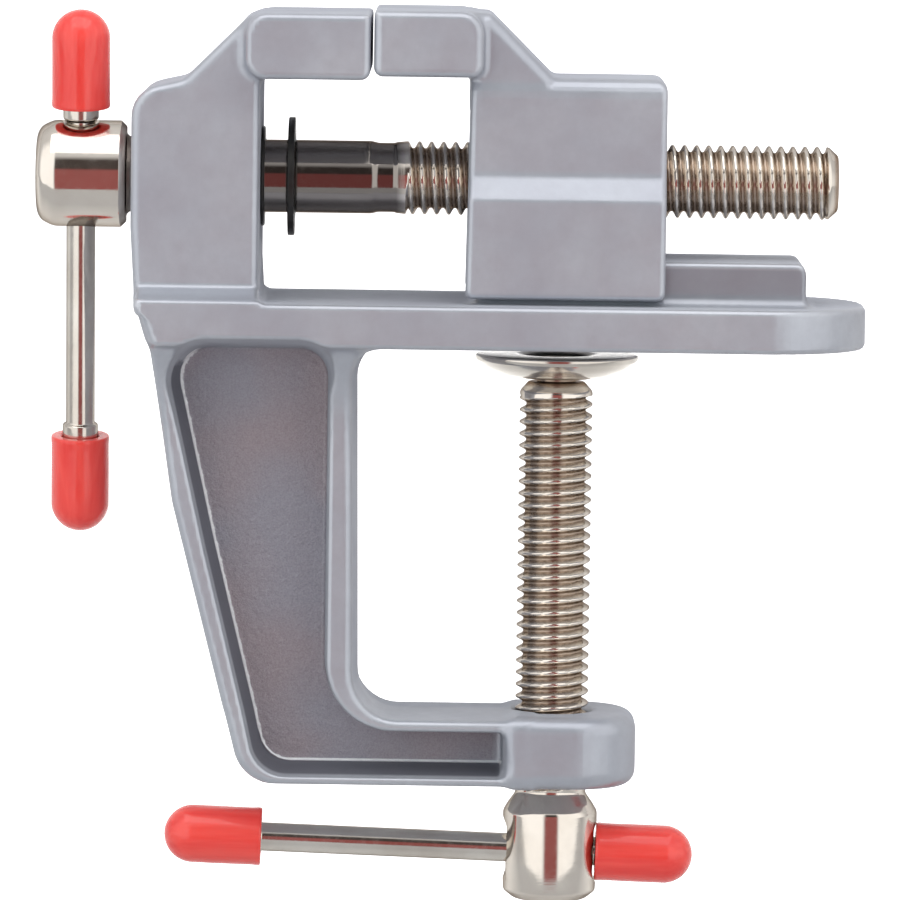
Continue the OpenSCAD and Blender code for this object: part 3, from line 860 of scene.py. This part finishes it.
def paint(name, pocket):
    """Satin silver-grey paint on a casting.

    With pocket, it has the fixed casting's marks too: a rough brown web in the arm's pockets, painted shade
    on the pockets' outer walls, painted highlights on their fillets, and painted shade on the rail's sides.
    """
    n = Nodes(bpy.data.materials.new(name))
    color = n.mix(n.span(n.noise(90), 0.35, 0.65), PAINT_DEEP, PAINT_PALE)
    color = n.mix(n.span(n.noise(900, 4, 0.6), 0.3, 0.75, 0.0, 0.35), color, PAINT_SPECK)
    raised = n.span(n.geometry("Pointiness"), 0.52, 0.60)
    color = n.mix(n.product(raised, 0.45), color, PAINT_WORN)
    rough = n.span(n.noise(300), 0.3, 0.7, 0.30, 0.38)
    skin = n.bump(n.noise(420, 2), 0.00010, 0.35)
    skin = n.bump(n.noise(1900), 0.00003, 0.35, skin)
    if pocket:
        axes = n.axes()
        web = pocket_web(n, axes)
        grains = n.span(n.noise(5200, 3, 0.6), 0.34, 0.68)
        brown = n.mix(grains, BROWN_DEEP, BROWN_PALE)
        blue = n.mix(grains, BLUE_DEEP, BLUE_PALE)
        color = n.mix(web, color, n.mix(n.span(n.noise(70, 2), 0.38, 0.60), brown, blue))
        # painted shade on the rail's two sides
        color = n.mix(n.product(rail_painted_shade(n, axes), 0.6), color, RAIL_SHADE)
        wall, fillet = pocket_edges(n, axes)
        # painted shade on the pockets' outer walls
        color = n.mix(n.product(wall, 0.8), color, WALL_SHADE)
        # painted highlight along the fillets at the foot of the pockets' outer walls
        color = n.mix(fillet, color, PAINTED_FILLET_HIGHLIGHT)
        rough = n.mix(web, rough, n.span(grains, 0, 1, 0.42, 0.6))
        skin = n.bump(n.product(n.noise(1500, 5, 0.7), web), 0.00030, 0.8, skin)
    sheen = n.product(facing(n, 0.62, 0.93), 0.5)
    return n.set(color=color, rough=rough, metal=sheen, normal=skin, specular=0.0, tint=EDGE_TINT,
                 coat=n.product(sheen, 0.8), coat_rough=0.12)


def nickel(name, axis, centre_z=0.0, shank_end=None):
    """Bright nickel plate with dirt and painted shade in the thread's roots, and fine turning marks round
    the axis.

    With shank_end, the plain shank from the upright to there is darkened with painted shade, for the dark
    surroundings it reflects.
    """
    n = Nodes(bpy.data.materials.new(name))
    axes = n.axes()
    if axis == "X":
        u, v = axes["Y"], n.math("SUBTRACT", axes["Z"], centre_z * MM)
    else:
        u, v = axes["X"], axes["Y"]
    radius = n.math("SQRT", n.math("ADD", n.product(u, u), n.product(v, v)))
    clear_of_roots = n.rise(radius, THREAD_R - THREAD_DEPTH, THREAD_R - 0.4)
    color = n.mix(n.span(n.noise(260), 0.3, 0.7), NICKEL_WARM, NICKEL_PALE)
    # dirt and painted shade darken the thread's roots
    color = n.mix(clear_of_roots, ROOT_DIRT_AND_SHADE, color)
    rough = n.span(n.noise(1400), 0.3, 0.7, 0.07, 0.15)
    rough = n.math("ADD", rough, n.span(clear_of_roots, 0, 1, 0.2, 0.0))
    if shank_end is not None:
        shank = n.product(n.fall(axes["X"], shank_end, shank_end + 1.0),
                          n.rise(axes["X"], THROAT_X - 6, THROAT_X - 3))
        # painted shade on the plain shank, standing in for the dark surroundings it reflects
        color = n.mix(n.product(shank, 0.85), color, SHANK_PAINTED_SHADE)
    rings = (9000, 300, 300) if axis == "X" else (300, 300, 9000)
    skin = n.bump(n.noise(1, 2, stretch=rings), 0.000004, 0.5)
    skin = n.bump(n.noise(300, 2), 0.00003, 0.2, skin)
    return n.set(color=color, rough=rough, metal=1.0, normal=skin, tint=EDGE_TINT)


def bright_steel(name, edge):
    """Plated rods and the pad: a little duller than the screws, with light tarnish."""
    n = Nodes(bpy.data.materials.new(name))
    color = n.mix(n.span(n.noise(200, 4), 0.35, 0.7), STEEL_WARM, STEEL_PALE)
    rough = n.span(n.noise(1600), 0.3, 0.7, 0.10, 0.20)
    skin = n.bump(n.noise(800), 0.00002, 0.3)
    return n.set(color=color, rough=rough, metal=1.0, normal=skin, tint=edge)


def black_oxide():
    """Blackened steel, for the clip and the washer."""
    n = Nodes(bpy.data.materials.new("black_oxide"))
    color = n.mix(n.noise(900, 4), OXIDE_DEEP, OXIDE_WORN)
    rough = n.span(n.noise(1200), 0.3, 0.7, 0.32, 0.5)
    skin = n.bump(n.noise(1500), 0.00003, 0.4)
    return n.set(color=color, rough=rough, metal=0.6, normal=skin)


def vinyl(name, streaks):
    """Glossy dipped vinyl: coral red, slightly see-through, with faint streaks along the cap."""
    n = Nodes(bpy.data.materials.new(name))
    run = n.noise(1, stretch=streaks)
    color = n.mix(n.span(run, 0.35, 0.65), VINYL_DEEP, VINYL_PALE)
    rough = n.span(n.noise(500, 2), 0.3, 0.7, 0.13, 0.20)
    skin = n.bump(run, 0.00012, 0.35)
    skin = n.bump(n.noise(300, 1), 0.00010, 0.15, skin)
    return n.set(color=color, rough=rough, normal=skin, subsurface=0.3, radius=(1.0, 0.25, 0.2),
                 scale=0.0012, coat=0.2, coat_rough=0.08)


# ---------------------------------------------------------------- assembly

def settle(piece, material, body, node):
    """Gives a piece its material, puts it on its body, and hides the CAD node it stands for."""
    piece.data.materials.clear()
    piece.data.materials.append(material)
    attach(piece, body)
    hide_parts(node)


def build():
    """Makes every piece and settles it on its body."""
    screw_nickel = nickel("jaw_screw_nickel", "X", SCREW_Z, JAW_THREAD_START)
    clamp_nickel = nickel("clamp_screw_nickel", "Z")
    steel = bright_steel("plated_steel", EDGE_TINT)
    pressed = bright_steel("pressed_steel", WHITE)
    black = black_oxide()
    upright_red = vinyl("red_vinyl_upright", (900, 900, 60))
    level_red = vinyl("red_vinyl_level", (60, 900, 900))
    lean = along_z(JAW_BAR_X, SCREW_Z, lean=UPPER_LEAN)
    jaw_bar = lean @ Matrix.Translation(Vector((0, 0, (JAW_BAR_REACH - BAR_L) * MM)))
    tilt = along_z(0, CLAMP_BAR_Z, math.pi / 2 + LOWER_TILT)
    clamp_bar = tilt @ Matrix.Translation(Vector((0, 0, (CLAMP_BAR_RIGHT - BAR_L) * MM)))
    far = Matrix.Translation(Vector((0, 0, BAR_L * MM))) @ Matrix.Rotation(math.pi, 4, "X")

    casting = implicit_piece("frame_cast", frame_distance, CAST_LOW, CAST_HIGH, CASTING_GRID)
    settle(casting, paint("frame_paint", True), "frame", "frame_casting")
    slider = implicit_piece("moving_jaw_cast", slider_distance, SLIDER_LOW, SLIDER_HIGH, JAW_GRID)
    settle(slider, paint("jaw_paint", False), "moving_jaw", "moving_jaw")
    settle(make_washer(), black, "frame", "thrust_washer")
    clip = implicit_piece("e_clip_stamped", clip_distance, CLIP_LOW, CLIP_HIGH, CLIP_GRID)
    settle(clip, black, "jaw_screw", "e_clip")
    settle(make_jaw_screw(), screw_nickel, "jaw_screw", "jaw_screw")
    settle(make_clamp_screw(), clamp_nickel, "clamp_screw", "clamp_screw")
    settle(make_pad(), pressed, "swivel_pad", "swivel_pad")
    collar = COLLAR_L + COLLAR_IN_CAP
    settle(make_rod("jaw_bar_rod", jaw_bar, collar), steel, "jaw_t_bar", "jaw_t_bar")
    clamp_rod = make_rod("clamp_bar_rod", clamp_bar, COLLAR_IN_CAP)
    settle(clamp_rod, steel, "clamp_t_bar", "clamp_t_bar")
    for name, place, red, body, node in (
            ("jaw_bar_cap_lower", jaw_bar, upright_red, "jaw_t_bar", "jaw_t_bar_lower_cap"),
            ("jaw_bar_cap_upper", jaw_bar @ far, upright_red, "jaw_t_bar", "jaw_t_bar_upper_cap"),
            ("clamp_bar_cap_left", clamp_bar, level_red, "clamp_t_bar", "clamp_t_bar_left_cap"),
            ("clamp_bar_cap_right", clamp_bar @ far, level_red, "clamp_t_bar", "clamp_t_bar_right_cap")):
        settle(make_cap(name, place), red, body, node)


# ---------------------------------------------------------------- studio, in metres

CAMERA_DISTANCE = 0.780
CAMERA_DOWN = 0.0876
CAMERA_ROLL = math.radians(0.8)
FOCAL = 299.5
AIM = Vector((-0.01098, 0, -0.01132))
FLOOR_Z = CLAMP_LOW[2] * MM - 0.05
SHEET_HALF = 1.6
ROUND_STEPS = 72
PAPER_NEAR = (0.80, 0.80, 0.80, 1)
SHEET_NEAR = (0.48, 0.48, 0.49, 1)
PAPER_FAR = (0.9, 0.9, 0.9, 1)
TENT_PANEL = (1.45, 1.44, 1.42, 1)
TENT_LOW = (0.62, 0.61, 0.62, 1)
TENT_HIGH = (0.88, 0.875, 0.87, 1)
GAP_RED = (0.40, 0.125, 0.12, 1)
GAP_DARK = (0.085, 0.07, 0.065, 1)


def make_camera():
    """A long lens, looking along +Y and a little down, as the photograph was taken."""
    data = bpy.data.cameras.new("camera")
    data.lens = FOCAL
    data.sensor_width = 36
    data.clip_start = 0.01
    data.clip_end = 50
    camera = bpy.data.objects.new("camera", data)
    bpy.context.scene.collection.objects.link(camera)
    forward = Vector((0, math.cos(CAMERA_DOWN), -math.sin(CAMERA_DOWN)))
    turn = forward.to_track_quat("-Z", "Y").to_matrix().to_4x4()
    camera.matrix_world = (Matrix.Translation(AIM - forward * CAMERA_DISTANCE) @ turn
                           @ Matrix.Rotation(CAMERA_ROLL, 4, "Z"))
    bpy.context.scene.camera = camera


def make_light(name, place, size, power, color=(1, 1, 1), glossy=True):
    """A soft box that faces the vise; glossy says whether shiny surfaces show it."""
    data = bpy.data.lights.new(name, "AREA")
    data.shape = "RECTANGLE"
    data.size, data.size_y = size
    data.energy = power
    data.color = color
    light = bpy.data.objects.new(name, data)
    bpy.context.scene.collection.objects.link(light)
    light.location = place
    light.rotation_euler = (AIM - Vector(place)).to_track_quat("-Z", "Y").to_euler()
    light.visible_glossy = glossy
    light.visible_camera = False


def make_world():
    """A white tent: bright panels left and right of the camera, and a dark gap between them.

    turn is the angle round from the camera's side, positive to its right, and height runs from -1
    straight down to 1 straight up. Low down, the gap is a warm red, which the nickel reflects.
    """
    n = Nodes(bpy.data.worlds.new("studio"), "Generated")
    bpy.context.scene.world = n.owner
    axes = n.axes()
    turn = n.math("ARCTAN2", axes["X"], n.product(axes["Y"], -1.0))
    height = axes["Z"]
    right = n.product(n.span(turn, 0.27, 0.40), n.span(turn, 1.40, 1.75, 1.0, 0.0))
    left = n.product(n.span(turn, -0.20, -0.34), n.span(turn, -1.30, -1.65, 1.0, 0.0))
    panels = n.product(n.math("ADD", right, left), n.span(height, 0.72, 0.90, 1.0, 0.0))
    gap = n.product(n.span(turn, 0.27, 0.36, 1.0, 0.0), n.span(turn, -0.18, -0.28, 1.0, 0.0),
                    n.span(height, 0.52, 0.64, 1.0, 0.0))
    dark = n.mix(n.span(height, 0.16, 0.22), GAP_RED, GAP_DARK)
    dome = n.mix(n.span(height, -0.2, 0.9), TENT_LOW, TENT_HIGH)
    dome = n.mix(panels, dome, TENT_PANEL)
    background = n.tree.nodes["Background"]
    n.put(background.inputs["Color"], n.mix(gap, dome, dark))
    n.put(background.inputs["Strength"], 0.85)


def bend_up(start, floor_z, radius):
    """The quarter turn from a floor up into a wall, as (distance, height) points."""
    return [(start + radius * math.sin(a), floor_z + radius * (1 - math.cos(a)))
            for a in (math.radians(d) for d in range(0, 91, 6))]


def make_backdrop(name, verts, faces, seen):
    """White paper: either the pale floor and wall that are seen, or a sheet that only lights the vise."""
    mesh = bpy.data.meshes.new(name)
    mesh.from_pydata(verts, [], faces)
    mesh.shade_smooth()
    n = Nodes(bpy.data.materials.new(name + "_paper"))
    axes = n.axes()
    grain = n.span(n.noise(900), 0.3, 0.7, 0.97, 1.0)
    tone = n.mix(n.span(axes["Y"], -0.05, 0.12), PAPER_NEAR if seen else SHEET_NEAR, PAPER_FAR)
    if seen:
        away = n.math("ADD", n.math("POWER", axes["X"], 2.0), n.math("POWER", axes["Y"], 2.0))
        glow = n.span(away, 0.02, 0.10, 0.0, 0.85)
    else:
        beside = n.math("ABSOLUTE", n.math("ADD", axes["X"], -AIM.x))
        glow = n.product(n.span(beside, 0.085, 0.16, 0.60, 0.0), n.span(axes["Y"], 0.12, 0.30),
                         n.span(axes["Z"], 0.028, 0.060, 1.0, 0.0))
    mesh.materials.append(n.set(color=n.mix(grain, BLACK, tone), rough=0.95, specular=0.1,
                                glow_color=WHITE, glow=glow))
    backdrop = bpy.data.objects.new(name, mesh)
    bpy.context.scene.collection.objects.link(backdrop)
    backdrop.visible_camera = seen
    backdrop.visible_diffuse = not seen
    backdrop.visible_glossy = not seen
    backdrop.visible_transmission = not seen
    backdrop.visible_shadow = not seen


def make_bounce_sheet():
    """A floor and a back wall that light the vise and that the camera doesn't see."""
    side = [(-0.20, FLOOR_Z), (0.0, FLOOR_Z)] + bend_up(0.30, FLOOR_Z, 0.25) + [(0.55, FLOOR_Z + 0.6)]
    verts = [(x, y, z) for y, z in side for x in (-SHEET_HALF, SHEET_HALF)]
    faces = [(2 * i, 2 * i + 1, 2 * i + 3, 2 * i + 2) for i in range(len(side) - 1)]
    make_backdrop("bounce_sheet", verts, faces, False)


def make_round_backdrop():
    """The round floor and wall that the camera sees from any side, just above the bounce sheet."""
    top_z = FLOOR_Z + 0.001
    side = [(0.001, top_z), (0.15, top_z), (0.40, top_z)] + bend_up(1.15, top_z, 0.40)
    side += [(1.55, top_z + 1.5)]
    verts = [(r * math.cos(TURN * k / ROUND_STEPS), r * math.sin(TURN * k / ROUND_STEPS), z)
             for r, z in side for k in range(ROUND_STEPS)]
    faces = []
    for i in range(len(side) - 1):
        for k in range(ROUND_STEPS):
            a = i * ROUND_STEPS + k
            b = i * ROUND_STEPS + (k + 1) % ROUND_STEPS
            faces.append((a, b, b + ROUND_STEPS, a + ROUND_STEPS))
    make_backdrop("backdrop", verts, faces, True)


def make_studio():
    """The tent, a top light, a front fill that leaves no highlights, and the paper."""
    make_world()
    make_light("top", (-0.05, -0.20, 0.60), (0.75, 0.55), 1.6)
    make_light("front", (-0.10, -0.90, 0.10), (0.50, 0.40), 2.0, (0.74, 1.0, 1.02), glossy=False)
    make_bounce_sheet()
    make_round_backdrop()
    bpy.context.scene.view_settings.view_transform = "Standard"


make_camera()
make_studio()
build()
